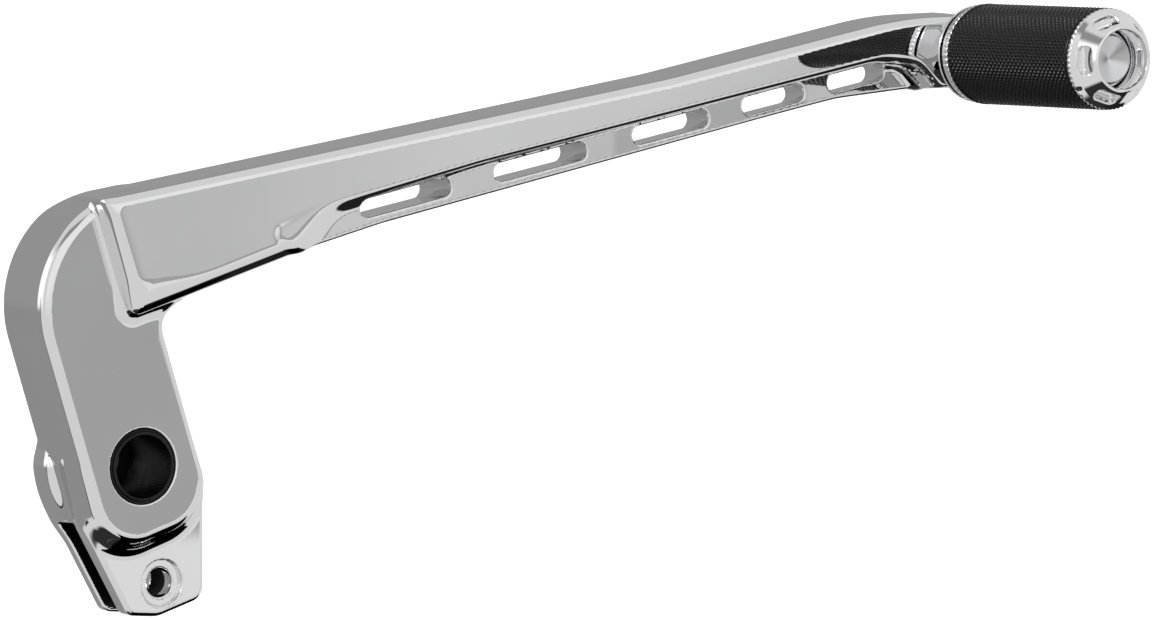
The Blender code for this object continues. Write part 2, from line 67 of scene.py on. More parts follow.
# Meshing: cell sizes, the room left round a piece, and how near to the surface a cell has to be, in
# its own sizes
LEVER_STEP = 0.5
NECK_STEP = 0.3
AXLE_STEP = 0.35
RIM_STEP = 0.25
MARGIN = 2.0
PEG_MARGIN = 1.0
HALVINGS = 3
NEAR_ENOUGH = 1.3
PROJECTIONS = 2
LEAST_SLOPE = 0.05
SLOPE_REACH = 0.01

# Hub plate, boss and fork. Of a pair of fillets, the first radius is everywhere and the second is
# added where the fillet is wider. The relief is cut by a slanted plane with this normal, across the
# hub and backwards, through this point across the hub and behind its back.
HUB_LEAN = math.radians(17.6)
HUB_HALF = 18.0
HUB_FRONT = -12.0
HUB_BACK = 10.5
HUB_FRONT_ROUND = 3.0
HUB_BACK_ROUND = 2.5
RELIEF_SLANT = (0.4567, 0.8897)
RELIEF_START = (2.0, 0.2)
RELIEF_LOW = 46.0
RELIEF_ROUNDS = (10.0, 4.0, 3.0)
BOSS_RADIUS = 20.8
BOSS_FRONT = 4.0
BOSS_BACK = 11.5
BOSS_ROUND = 1.2
BORE_RADIUS = 10.2
FORK_ROUND = 1.4
FORK_FILLET = 5.0
STEP_FILLETS = (1.2, 3.6)
STEP_FADE = (-5.0, 1.0)
EAR_FRONT = -6.4
EAR_BACK = 10.5
SLOT_FRONT = -0.7
SLOT_BACK = 6.3
SLOT_TOP = -17.0
SLOT_RISE = 18.0
SLOT_LEFT = -40.0
SLOT_ROUND = 1.0
BARE_REACH = 0.1
BARE_RISE = 0.3
BARE_RIM = 1.0
EDGE_ROUND = 0.6
SINK_ROUND = 0.5
HOLE_ROUND = 0.4
PIN = (9.1, -32.8)
PIN_RADIUS = 4.0
PIN_SINK_RADIUS = 6.3
PIN_SINK_DEPTH = 1.5

# Arm
ARM_FRONT = -19.0
ARM_BACK = 3.0
ARM_ROUND = 4.0
ARM_LEAST_OVER = 0.5
ARM_MIDDLE = 61.5
ARM_SLOPE = 0.195
ARM_FILLETS = (1.8, 4.0)
INNER_CORNER = (17.0, 46.0)
INNER_CORNER_SPREAD = 90.0
CROWN_RADIUS = 100.0
CROWN_RISE = (60.0, 200.0)
WEB_FRONT = -7.0
WEB_TAPER = 0.0616
WEB_LEVEL = 215.0
WEB_BLEND = 6.0
WEB_SLOPE = 0.1775
WEB_START = (75.0, 62.9)
WEB_ROUNDS = (1.1, 1.5)
WEB_FILLETS = (2.6, 2.2)
WEB_FILLET_RISE = (236.0, 254.0)
SLOT_HALF = 2.55
SLOT_Y = -6.45
SLOT_TILT = math.radians(5.0)
SLOTS = ((82.3, 31.0), (128.2, 32.3), (173.4, 27.0), (209.5, 22.0), (238.3, 19.6))
SLOT_LIFT = 4.6

# Toe peg, by distance outwards from the arm's front face
BOLT_FLOOR = 11.5
BOLT_SINK_RADIUS = 7.2
BOLT_HOLE_RADIUS = 4.3
NECK_START = 0.3
NECK_END = 5.0
NECK_RADIUS = 13.8
AXLE_START = 5.3
AXLE_END = 68.0
AXLE_RADIUS = 7.0
COLLAR_START = 6.4
COLLAR_END = 11.0
COLLAR_RADIUS = 14.2
COLLAR_SCALLOPS_START = 6.9
GRIP_START = 9.3
GRIP_END = 65.9
GRIP_RADIUS = 14.3
GRIP_BORE = 11.6
GRIP_SHOULDER = (14.1, 0.18)
GRIP_FACE = 13.7
GRIP_MARGIN = 0.6
GRIP_FADE = 1.4
KNURL_STEEPNESS = 1.15
KNURLS = 46
KNURL_PITCH = 1.85
KNURL_DEPTH = 0.6
KNURL_STEPS = 10
CAP_PLUG = 63.2
CAP_START = 66.2
CAP_END = 74.0
CAP_SCALLOPS_LENGTH = 1.6
WINDOWS = 5
WINDOW_HALF = (2.1, 3.8)
WINDOW_CENTRE = (11.25, 70.6)
WINDOW_DEPTH = 2.4
WINDOW_CORNER = 1.5
WINDOW_ROUND = 0.45
CONE_NORMAL = (0.819, 0.573)
SCALLOPS = 60
SCALLOP_RADIUS = 0.85
SCALLOP_DEPTH = 0.32
FINE_ROUND = 0.15
SCREW_OUTWARD = 67.3
SCREW_HOLE = 0.87
SCREW_DEPTH = 3.4
SCREW_TURN = math.radians(36.0)


# ---------------------------------------------------------------- distances

def outline(corners):
    """Return the lines and arcs of an outline given as corners (u, v, radius)."""
    points = [np.array(corner[:2], float) for corner in corners]
    area = sum(a[0] * b[1] - b[0] * a[1] for a, b in zip(points, points[1:] + points[:1]))
    sense = math.copysign(1.0, area)
    arcs = []
    ends = []
    for index, point in enumerate(points):
        radius = corners[index][2]
        before = points[index - 1] - point
        after = points[(index + 1) % len(points)] - point
        before /= np.linalg.norm(before)
        after /= np.linalg.norm(after)
        half = math.acos(float(before @ after)) / 2.0
        inward = (before + after) / np.linalg.norm(before + after)
        bulge = math.copysign(1.0, (after[0] * before[1] - after[1] * before[0]) * sense)
        arcs.append((point + inward * radius / math.sin(half), radius, -inward, math.sin(half), bulge))
        reach = radius / math.tan(half)
        ends.append((point + before * reach, point + after * reach))
    lines = []
    for (_, start), (end, _) in zip(ends, ends[1:] + ends[:1]):
        length = float(np.linalg.norm(end - start))
        lines.append((start, (end - start) / max(length, 1e-9), length))
    return lines, arcs, sense


def flat_distance(shape, u, v):
    """Return the signed distance in the plane from (u, v) to an outline."""
    lines, arcs, sense = shape
    best = np.full(u.shape, 1e6)
    for start, way, length in lines:
        du = u - start[0]
        dv = v - start[1]
        along = np.clip(du * way[0] + dv * way[1], 0.0, length)
        side = (du * way[1] - dv * way[0]) * sense
        distance = np.copysign(np.hypot(du - along * way[0], dv - along * way[1]), side)
        best = np.where(np.abs(distance) < np.abs(best), distance, best)
    for centre, radius, middle, spread, bulge in arcs:
        du = u - centre[0]
        dv = v - centre[1]
        reach = np.hypot(du, dv)
        distance = (reach - radius) * bulge
        nearer = np.abs(distance) < np.abs(best)
        best = np.where((du * middle[0] + dv * middle[1] >= reach * spread) & nearer, distance, best)
    return best


def join(a, b, radius):
    """Join two solids with a round fillet."""
    near_a = np.maximum(radius - a, 0.0)
    near_b = np.maximum(radius - b, 0.0)
    return np.maximum(radius, np.minimum(a, b)) - np.hypot(near_a, near_b)


def keep(a, b, radius):
    """Keep what two solids share, with a rounded edge."""
    return -join(-a, -b, radius)


def cut(a, b, radius):
    """Cut solid b out of solid a, with a rounded edge."""
    return -join(-a, b, radius)


def plate(flat, y, front, back, front_round, back_round):
    """Return a plate between two planes, from the distance to its outline."""
    return keep(keep(flat, front - y, front_round), y - back, back_round)


def smooth_step(value, start, end):
    """Rise smoothly from 0 at start to 1 at end."""
    t = np.clip((value - start) / (end - start), 0.0, 1.0)
    return t * t * (3.0 - 2.0 * t)


# ---------------------------------------------------------------- surfaces

CORNERS = np.array([(i, j, k) for i in (0, 1) for j in (0, 1) for k in (0, 1)])
AXES = np.eye(3, dtype=np.int64)
KEY = np.array((1 << 40, 1 << 20, 1), np.int64)


def near_cells(field, low, cells, size):
    """Return those of the cells whose middle is near the surface."""
    return cells[np.abs(field(low + (cells + 0.5) * size)) < size * NEAR_ENOUGH]


def small_cells(field, low, high, step):
    """Return the cells of size step that may hold the surface, by halving bigger ones near it."""
    size = step * 2 ** HALVINGS
    counts = np.ceil((np.array(high) - np.array(low)) / size).astype(int) + 1
    cells = np.stack(np.meshgrid(*map(np.arange, counts), indexing="ij"), -1).reshape(-1, 3)
    cells = near_cells(field, low, cells, size)
    for _ in range(HALVINGS):
        size /= 2.0
        cells = near_cells(field, low, (cells[:, None] * 2 + CORNERS[None]).reshape(-1, 3), size)
    return cells


def crossing_points(values):
    """Return each cell's mean crossing of the surface with its edges, from its corner values."""
    total = np.zeros((len(values), 3))
    count = np.zeros(len(values))
    for a in range(8):
        for axis in range(3):
            b = a + (4, 2, 1)[axis]
            if CORNERS[a][axis]:
                continue
            crosses = (values[:, a] < 0.0) != (values[:, b] < 0.0)
            span = np.where(crosses, values[:, a] - values[:, b], 1.0)
            share = np.where(crosses, values[:, a] / span, 0.0)
            total += (CORNERS[a] + AXES[axis] * share[:, None]) * crosses[:, None]
            count += crosses
    return total / count[:, None]


def gradient(field, points):
    """Return the field's slope at points, by small differences."""
    slopes = [field(points + SLOPE_REACH * axis) - field(points - SLOPE_REACH * axis)
              for axis in np.eye(3)]
    return np.stack(slopes, -1) / (2.0 * SLOPE_REACH)


def surface_mesh(field, low, high, step):
    """Return points, normals and quads of the surface where the field is zero."""
    low = np.array(low, float)
    cells = small_cells(field, low, high, step)
    nodes, where = np.unique((cells[:, None] + CORNERS[None]) @ KEY, return_inverse=True)
    places = np.stack((nodes >> 40, (nodes >> 20) & 0xFFFFF, nodes & 0xFFFFF), -1)
    values = field(low + places * step)[where].reshape(-1, 8)
    inside = (values < 0.0).sum(1)
    mixed = (inside > 0) & (inside < 8)
    cells = cells[mixed]
    values = values[mixed]
    order = np.argsort(cells @ KEY)
    cells = cells[order]
    values = values[order]
    keys = cells @ KEY
    points = low + (cells + crossing_points(values)) * step
    quads = []
    for axis in range(3):
        b, c = AXES[(axis + 1) % 3], AXES[(axis + 2) % 3]
        starts = values[:, 0] < 0.0
        ends = values[:, (4, 2, 1)[axis]] < 0.0
        found = np.nonzero(starts != ends)[0]
        ring = np.stack([keys[found] - offset @ KEY for offset in (0 * b, b, b + c, c)], -1)
        index = np.minimum(np.searchsorted(keys, ring), len(keys) - 1)
        whole = (keys[index] == ring).all(1)
        index[ends[found]] = index[ends[found]][:, ::-1]
        quads.append(index[whole])
    for _ in range(PROJECTIONS):
        slope = gradient(field, points)
        move = slope * (field(points) / np.maximum((slope ** 2).sum(1), LEAST_SLOPE))[:, None]
        points = points - np.clip(move, -step, step)
    slope = gradient(field, points)
    return points, slope / np.linalg.norm(slope, axis=1, keepdims=True), np.concatenate(quads)


def mesh_object(name, points, faces, normals=None, place=None):
    """Make an object from arrays of points in millimetres and quads."""
    mesh = bpy.data.meshes.new(name)
    mesh.vertices.add(len(points))
    mesh.vertices.foreach_set("co", (points * MM).astype(np.float32).ravel())
    mesh.loops.add(faces.size)
    mesh.loops.foreach_set("vertex_index", faces.astype(np.int32).ravel())
    mesh.polygons.add(len(faces))
    mesh.polygons.foreach_set("loop_start", np.arange(0, faces.size, faces.shape[1], dtype=np.int32))
    mesh.update(calc_edges=True)
    mesh.shade_smooth()
    if normals is not None:
        mesh.normals_split_custom_set_from_vertices(normals.tolist())
    if place is not None:
        mesh.transform(place)
    item = bpy.data.objects.new(name, mesh)
    bpy.context.scene.collection.objects.link(item)
    return item


def make_surface(name, field, low, high, step, place=None):
    """Make an object from a distance field."""
    points, normals, quads = surface_mesh(field, low, high, step)
    return mesh_object(name, points, quads, normals, place)


def finish_piece(item, body, slot, material, *nodes):
    """Give a piece its material and its body, and hide the CAD nodes it stands for. The slot is not
    used.
    """
    item.data.materials.append(material)
    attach(item, body)
    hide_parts(*nodes)
    return item


# ---------------------------------------------------------------- peg frame

def peg_place():
    """Return the matrix that carries the peg's own axes to their place: its Y points inboard."""
    joint = JOINTS["toe_peg_spin"]
    axis = Vector(joint["axis"]).normalized()
    turn = Vector((0.0, 1.0, 0.0)).rotation_difference(axis).to_matrix().to_4x4()
    return Matrix.Translation(Vector(joint["pos_m"])) @ turn


PEG_PLACE = peg_place()


def along_peg(points):
    """Return radius from the peg's axis and distance outwards from the arm's face."""
    inverse = np.array(PEG_PLACE.inverted())
    moved = points * MM @ inverse[:3, :3].T + inverse[:3, 3]
    return np.hypot(moved[:, 0], moved[:, 2]) / MM, -moved[:, 1] / MM


# ---------------------------------------------------------------- lever body

def hub_point(across, along, radius):
    """Return a corner given in the hub's own leaning axes."""
    x = across * math.cos(HUB_LEAN) - along * math.sin(HUB_LEAN)
    z = across * math.sin(HUB_LEAN) + along * math.cos(HUB_LEAN)
    return x, z, radius


def web_bottom(x):
    """Return the height of the web's lower edge."""
    return WEB_START[1] + (x - WEB_START[0]) * WEB_SLOPE


HUB = outline([
    hub_point(-HUB_HALF, -20.5, 14.0), hub_point(HUB_HALF, -20.5, 14.0),
    hub_point(HUB_HALF, 34.5, 7.0), (13.5, 48.5, 5.0), (3.0, 75.5, 5.0), (-40.9, 69.1, 31.0),
])
CLEVIS = outline([
    (-8.0, 10.0, 2.0), (-18.6, 0.0, 2.0), (-15.1, -16.4, 10.0), (-1.2, -41.2, 3.5), (8.0, -42.0, 8.0),
    (22.5, -37.6, 4.5), (22.5, -4.0, 8.0), (16.0, 5.0, 2.0),
])
ARM_FACE = outline([
    (-11.6, 70.9, 2.0), (-4.9, 51.3, 3.0), (14.0, 52.2, 50.0), (43.0, 61.0, 10.0), (52.5, 69.4, 18.0),
    (105.0, 79.8, 200.0), (242.0, 104.3, 25.0), (251.5, 103.0, 12.0), (261.6, 94.4, 1.0),
    (278.0, 94.4, 8.6), (278.0, 112.3, 8.6), (247.0, 111.1, 120.0), (170.0, 97.1, 200.0),
])
ARM = outline([
    (-15.3, 73.2, 0.8), (-5.2, 40.9, 3.0), (20.0, 48.3, 50.0), (46.5, 56.0, 10.0), (57.5, 67.0, 18.0),
    (105.0, 77.8, 200.0), (238.0, 101.2, 30.0), (252.5, 100.2, 9.0), (259.6, 93.0, 1.0),
    (279.4, 93.0, 10.3), (279.4, 113.9, 10.3), (247.0, 113.6, 120.0), (170.0, 99.7, 200.0),
])
WEB = outline([
    (36.0, 62.0, 2.0), (47.0, 56.6, 4.0), (75.0, web_bottom(75.0), 60.0),
    (232.0, web_bottom(232.0), 60.0), (264.0, 93.2, 2.0), (266.0, 107.0, 2.0), (62.0, 73.0, 4.0),
])


def hub_field(x, y, z):
    """Return the hub plate with its back blended into the arm's thinner back."""
    flat = flat_distance(HUB, x, z)
    solid = plate(flat, y, HUB_FRONT, HUB_BACK, HUB_FRONT_ROUND, HUB_BACK_ROUND)
    across = x * math.cos(HUB_LEAN) + z * math.sin(HUB_LEAN)
    along = -x * math.sin(HUB_LEAN) + z * math.cos(HUB_LEAN)
    slant = RELIEF_SLANT[0] * (across - RELIEF_START[0])
    slant = slant + RELIEF_SLANT[1] * (y - HUB_BACK - RELIEF_START[1])
    relief = keep(keep(-slant, ARM_BACK - y, RELIEF_ROUNDS[0]), RELIEF_LOW - along, RELIEF_ROUNDS[1])
    return cut(solid, relief, RELIEF_ROUNDS[2])


def fork_field(x, y, z):
    """Return the clevis block, before its slot is cut."""
    return plate(flat_distance(CLEVIS, x, z), y, EAR_FRONT, EAR_BACK, FORK_ROUND, FORK_ROUND)


def arm_middle(x):
    """Return the height of the middle of the bar's front face."""
    return ARM_MIDDLE + ARM_SLOPE * x


def arm_field(x, y, z):
    """Return the bar, its front rounded over from its flat face, and the thinner web under it."""
    face = flat_distance(ARM_FACE, x, z)
    full = flat_distance(ARM, x, z)
    crown = (z - arm_middle(x)) ** 2 / (2.0 * CROWN_RADIUS) * smooth_step(x, *CROWN_RISE)
    over = ARM_ROUND * np.maximum(face, 0.0) / np.maximum(face - full, ARM_LEAST_OVER)
    ahead = np.maximum(ARM_FRONT + ARM_ROUND + crown - y, 0.0)
    bar = keep(np.hypot(over, ahead) - ARM_ROUND, y - ARM_BACK, ARM_ROUND)
    front = WEB_FRONT - WEB_TAPER * WEB_BLEND * np.logaddexp(0.0, (WEB_LEVEL - x) / WEB_BLEND)
    web = plate(flat_distance(WEB, x, z), y, front, ARM_BACK, *WEB_ROUNDS)
    return join(bar, web, WEB_FILLETS[0] + WEB_FILLETS[1] * smooth_step(x, *WEB_FILLET_RISE))


def slot_field(x, y, z, centre, length):
    """Return one stadium-shaped opening of the web, tilted down towards the back."""
    turn = Matrix.Rotation(-math.atan(WEB_SLOPE), 3, "Y") @ Matrix.Rotation(-SLOT_TILT, 3, "X")
    start = np.array((centre, SLOT_Y, web_bottom(centre) + SLOT_LIFT))
    local = (np.stack((x, y, z), -1) - start) @ np.array(turn)
    past = np.maximum(np.abs(local[:, 0]) - length / 2.0 + SLOT_HALF, 0.0)
    return np.hypot(past, local[:, 2]) - SLOT_HALF


def fork_slot_top(x):
    """Return the height of the fork slot's sloping top."""
    return SLOT_TOP + (x - SLOT_LEFT) / SLOT_RISE


def lower_field(x, y, z):
    """Return the fork joined to the round boss behind the hub."""
    boss = plate(np.hypot(x, z) - BOSS_RADIUS, y, BOSS_FRONT, BOSS_BACK, BOSS_ROUND, BOSS_ROUND)
    return join(fork_field(x, y, z), boss, FORK_FILLET)


def cut_fork(solid, x, y, z):
    """Cut the rod end's slot and the pin's recessed hole."""
    slot = keep(np.maximum(SLOT_FRONT - y, y - SLOT_BACK), z - fork_slot_top(x), SLOT_ROUND)
    solid = cut(solid, slot, EDGE_ROUND)
    pin = np.hypot(x - PIN[0], z - PIN[1])
    solid = cut(solid, pin - PIN_RADIUS, HOLE_ROUND)
    sink = np.maximum(pin - PIN_SINK_RADIUS, y - EAR_FRONT - PIN_SINK_DEPTH)
    return cut(solid, sink, SINK_ROUND)


def lever_field(points):
    """Return the distance to the one-piece lever."""
    x, y, z = points.T
    step_fillet = STEP_FILLETS[0] + STEP_FILLETS[1] * (1.0 - smooth_step(y, *STEP_FADE))
    solid = join(hub_field(x, y, z), lower_field(x, y, z), step_fillet)
    corner_away = (x - INNER_CORNER[0]) ** 2 + (z - INNER_CORNER[1]) ** 2
    arm_fillet = ARM_FILLETS[0] + ARM_FILLETS[1] * np.exp(-corner_away / INNER_CORNER_SPREAD)
    solid = join(solid, arm_field(x, y, z), arm_fillet)
    solid = cut(solid, np.hypot(x, z) - BORE_RADIUS, EDGE_ROUND)
    solid = cut_fork(solid, x, y, z)
    for centre, length in SLOTS:
        solid = cut(solid, slot_field(x, y, z, centre, length), EDGE_ROUND)
    radius, outward = along_peg(points)
    solid = cut(solid, radius - BOLT_HOLE_RADIUS, HOLE_ROUND)
    return cut(solid, np.maximum(radius - BOLT_SINK_RADIUS, outward + BOLT_FLOOR), SINK_ROUND)


def lever_body(material, bare):
    """Make the chromed lever, whose fork slot has bare dark walls."""
    low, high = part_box("lever_body")
    low = np.array(low) / MM - MARGIN
    high = np.array(high) / MM + MARGIN
    item = make_surface("lever_chrome", lever_field, low, high, LEVER_STEP)
    finish_piece(item, "lever", "polished_chrome", material, "lever_body")
    item.data.materials.append(bare)
    centres = np.zeros(len(item.data.polygons) * 3, np.float32)
    item.data.polygons.foreach_get("center", centres)
    x, y, z = centres.reshape(-1, 3).T / MM
    between = (y > SLOT_FRONT - BARE_REACH) & (y < SLOT_BACK + BARE_REACH)
    inner = between & (z < fork_slot_top(x) + BARE_RISE)
    rim = flat_distance(CLEVIS, x, z) > -BARE_RIM
    item.data.polygons.foreach_set("material_index", (inner & ~rim).astype(np.int32))


# ---------------------------------------------------------------- toe peg

def turned_field(shape, x, y, z):
    """Return the distance to an outline (radius, distance outwards) spun about the peg's axis."""
    return flat_distance(shape, np.hypot(x, z), -y)


def fold_angle(x, z, count, start):
    """Return radius and the angle to the nearest of count equal spokes."""
    step = math.tau / count
    angle = np.arctan2(z, x) - start
    return np.hypot(x, z), angle - step * np.round(angle / step)


def scallop_field(x, z, radius):
    """Return the distance to a ring of small round grooves."""
    reach, angle = fold_angle(x, z, SCALLOPS, math.pi / SCALLOPS)
    inward = reach * np.cos(angle) - radius - SCALLOP_RADIUS + SCALLOP_DEPTH
    return np.hypot(inward, reach * np.sin(angle)) - SCALLOP_RADIUS


CAP = outline([
    (8.3, CAP_PLUG, 0.2), (9.84, CAP_PLUG, 0.2), (9.84, CAP_START, 0.1), (GRIP_RADIUS, CAP_START, 0.25),
    (GRIP_RADIUS, 67.1, 0.4), (12.7, 68.5, 0.5), (9.2, 73.5, 0.6), (8.6, 73.8, 0.25), (8.3, 73.4, 0.2),
    (8.3, 72.2, 0.3), (11.2, 68.5, 0.3), (8.3, 68.5, 0.2),
])


def window_field(x, z, outward):
    """Return the distance to the ring of round-cornered windows, square to the cap's cone."""
    reach, angle = fold_angle(x, z, WINDOWS, math.pi)
    aside = reach * np.cos(angle) - WINDOW_CENTRE[0]
    ahead = outward - WINDOW_CENTRE[1]
    across = ahead * CONE_NORMAL[0] - aside * CONE_NORMAL[1]
    through = ahead * CONE_NORMAL[1] + aside * CONE_NORMAL[0]
    du = np.maximum(np.abs(across) - WINDOW_HALF[0] + WINDOW_CORNER, 0.0)
    dv = np.maximum(np.abs(reach * np.sin(angle)) - WINDOW_HALF[1] + WINDOW_CORNER, 0.0)
    return np.maximum(np.hypot(du, dv) - WINDOW_CORNER, -WINDOW_DEPTH - through)


def cap_field(points):
    """Return the distance to the conical cap with its windows and scalloped rim."""
    x, y, z = points.T
    outward = -y
    solid = turned_field(CAP, x, y, z)
    rim = np.maximum(scallop_field(x, z, GRIP_RADIUS), outward - CAP_START - CAP_SCALLOPS_LENGTH)
    solid = cut(solid, rim, FINE_ROUND)
    solid = cut(solid, window_field(x, z, outward), WINDOW_ROUND)
    along = x * math.cos(SCREW_TURN) + z * math.sin(SCREW_TURN)
    aside = z * math.cos(SCREW_TURN) - x * math.sin(SCREW_TURN)
    screw = np.hypot(outward - SCREW_OUTWARD, aside) - SCREW_HOLE
    return cut(solid, np.maximum(screw, along + GRIP_RADIUS - SCREW_DEPTH), FINE_ROUND)


AXLE = outline([
    (BOLT_HOLE_RADIUS, AXLE_START, 0.2), (6.0, AXLE_START, 0.2), (6.0, 64.1, 0.2), (8.1, 64.1, 0.2),
    (8.1, 65.8, 0.4), (7.0, 65.8, 0.3), (7.0, 67.3, 0.3), (6.5, 68.0, 0.2), (6.1, 67.9, 0.2),
    (0.0001, 66.4, 0.0001), (0.0001, 22.3, 0.0001), (BOLT_HOLE_RADIUS, 22.3, 0.2),
])
NECK = outline([
    (BOLT_HOLE_RADIUS, NECK_START, 0.2), (8.9, NECK_START, 0.2), (9.7, 2.0, 6.0),
    (NECK_RADIUS, 4.4, 0.3), (NECK_RADIUS, NECK_END, 0.15), (BOLT_HOLE_RADIUS, NECK_END, 0.2),
])
COLLAR = outline([
    (6.5, COLLAR_START, 0.2), (NECK_RADIUS, COLLAR_START, 0.2), (NECK_RADIUS, 7.3, 0.3),
    (COLLAR_RADIUS, 7.4, 0.2), (COLLAR_RADIUS, 9.0, 0.3), (9.84, 9.0, 0.2), (9.84, COLLAR_END, 0.2),
    (6.5, COLLAR_END, 0.2),
])


def collar_field(points):
    """Return the distance to the inner collar."""
    x, y, z = points.T
    solid = turned_field(COLLAR, x, y, z)
    rim = np.maximum(scallop_field(x, z, COLLAR_RADIUS), COLLAR_SCALLOPS_START + y)
    return cut(solid, rim, FINE_ROUND)


def peg_surface(name, field, start, end, radius, step):
    """Make a piece of the peg from a field in the peg's own axes."""
    low = (-radius - PEG_MARGIN, -end - PEG_MARGIN, -radius - PEG_MARGIN)
    high = (radius + PEG_MARGIN, -start + PEG_MARGIN, radius + PEG_MARGIN)
    return make_surface(name, field, low, high, step, PEG_PLACE)


def lathe(name, profile, spokes, place, radius_at):
    """Spin a closed profile of (radius, distance outwards), then let radius_at shape the radius."""
    profile = np.array(profile, float)
    angles = np.arange(spokes) * math.tau / spokes
    radius = np.repeat(profile[:, :1], spokes, 1)
    outward = np.repeat(profile[:, 1:], spokes, 1)
    turn = np.repeat(angles[None], len(profile), 0)
    radius = radius_at(radius, outward, turn)
    points = np.stack((radius * np.cos(turn), -outward, radius * np.sin(turn)), -1).reshape(-1, 3)
    row = np.arange(len(profile))[:, None]
    column = np.arange(spokes)[None]
    after = (column + 1) % spokes
    below = (row + 1) % len(profile)
    ring = np.stack((row * spokes + column, row * spokes + after,
                     below * spokes + after, below * spokes + column), -1)
    return mesh_object(name, points, ring.reshape(-1, 4), place=place)


def knurl(radius, outward, turn):
    """Lower the grip's surface between the diamonds of its knurl."""
    around = turn * KNURLS / math.tau
    along = (outward - GRIP_START) / KNURL_PITCH
    first = np.abs((around + along) % 1.0 - 0.5) * 2.0
    second = np.abs((around - along) % 1.0 - 0.5) * 2.0
    height = np.minimum(np.minimum(first, second) * KNURL_STEEPNESS, 1.0)
    low = KNURL_DEPTH * (1.0 - height)
    band = smooth_step(outward, GRIP_START + GRIP_MARGIN, GRIP_START + GRIP_FADE)
    band = band * (1.0 - smooth_step(outward, GRIP_END - GRIP_FADE, GRIP_END - GRIP_MARGIN))
    return radius - np.where(radius > GRIP_RADIUS - 0.01, low * band, 0.0)


def rubber_grip(material):
    """Make the knurled rubber sleeve."""
    length = GRIP_END - GRIP_START - 2.0 * GRIP_MARGIN
    rows = int(round(length * KNURL_STEPS / KNURL_PITCH))
    outer = [(GRIP_RADIUS, GRIP_START + GRIP_MARGIN + length * step / rows) for step in range(rows + 1)]
    shoulder, drop = GRIP_SHOULDER
    start = [(GRIP_BORE, GRIP_START), (GRIP_FACE, GRIP_START), (shoulder, GRIP_START + drop)]
    end = [(shoulder, GRIP_END - drop), (GRIP_FACE, GRIP_END), (GRIP_BORE, GRIP_END)]
    item = lathe("grip_rubber", start + outer + end, KNURL_STEPS * KNURLS, PEG_PLACE, knurl)
    finish_piece(item, "toe_roller", "knurled_rubber", material, "rubber_grip")


def toe_peg(chrome, turned, rubber):
    """Make the pieces of the toe peg."""
    neck = peg_surface("neck_chrome", lambda p: turned_field(NECK, *p.T), NECK_START, NECK_END,
                       NECK_RADIUS, NECK_STEP)
    finish_piece(neck, "lever", "bright_chrome", chrome, "neck_spacer")
    axle = peg_surface("axle_head", lambda p: turned_field(AXLE, *p.T), AXLE_START, AXLE_END,
                       AXLE_RADIUS, AXLE_STEP)
    finish_piece(axle, "lever", "bright_chrome", turned, "peg_axle")
    collar = peg_surface("collar_chrome", collar_field, COLLAR_START, COLLAR_END, COLLAR_RADIUS,
                         RIM_STEP)
    finish_piece(collar, "toe_roller", "bright_chrome", chrome, "inner_collar")
    cap = peg_surface("cap_chrome", cap_field, CAP_PLUG, CAP_END, GRIP_RADIUS, RIM_STEP)
    finish_piece(cap, "toe_roller", "bright_chrome", chrome, "end_cap")
    rubber_grip(rubber)


# ---------------------------------------------------------------- materials

def new_material(name, colour, roughness, metallic):
    """Return a material's node tree, its Principled shader and the material."""
    material = bpy.data.materials.new(name)
    material.use_nodes = True
    shader = material.node_tree.nodes["Principled BSDF"]
    shader.inputs["Base Color"].default_value = (*colour, 1.0)
    shader.inputs["Roughness"].default_value = roughness
    shader.inputs["Metallic"].default_value = metallic
    return material.node_tree, shader, material


def noise(tree, scale, detail, roughness=0.55):
    """Add a noise texture in the object's own metres."""
    where = tree.nodes.new("ShaderNodeTexCoord")
    texture = tree.nodes.new("ShaderNodeTexNoise")
    texture.inputs["Scale"].default_value = scale
    texture.inputs["Detail"].default_value = detail
    texture.inputs["Roughness"].default_value = roughness
    tree.links.new(where.outputs["Object"], texture.inputs["Vector"])
    return texture.outputs["Fac"]


def spread(tree, value, low, high, start=0.3, end=0.7):
    """Map a noise value to a range."""
    ramp = tree.nodes.new("ShaderNodeMapRange")
    ramp.inputs["From Min"].default_value = start
    ramp.inputs["From Max"].default_value = end
    ramp.inputs["To Min"].default_value = low
    ramp.inputs["To Max"].default_value = high
    tree.links.new(value, ramp.inputs["Value"])
    return ramp.outputs["Result"]


def tint(tree, value, dark, light):
    """Mix two colours by a value."""
    mix = tree.nodes.new("ShaderNodeMix")
    mix.data_type = "RGBA"
    mix.inputs[6].default_value = (*dark, 1.0)
    mix.inputs[7].default_value = (*light, 1.0)
    tree.links.new(value, mix.inputs[0])
    return mix.outputs[2]


def bump(tree, shader, height, distance, strength):
    """Raise the shading by a height value."""
    node = tree.nodes.new("ShaderNodeBump")
    node.inputs["Distance"].default_value = distance
    node.inputs["Strength"].default_value = strength
    tree.links.new(height, node.inputs["Height"])
    tree.links.new(node.outputs["Normal"], shader.inputs["Normal"])


def metal(name, dark, light, smooth, rough, scale=120.0):
    """Return a metal material whose colour and gloss vary a little, as polished metal's do."""
    tree, shader, material = new_material(name, light, rough, 1.0)
    tree.links.new(tint(tree, noise(tree, scale * 0.3, 2.0), dark, light), shader.inputs["Base Color"])
    tree.links.new(spread(tree, noise(tree, scale, 4.0), smooth, rough), shader.inputs["Roughness"])
    return material


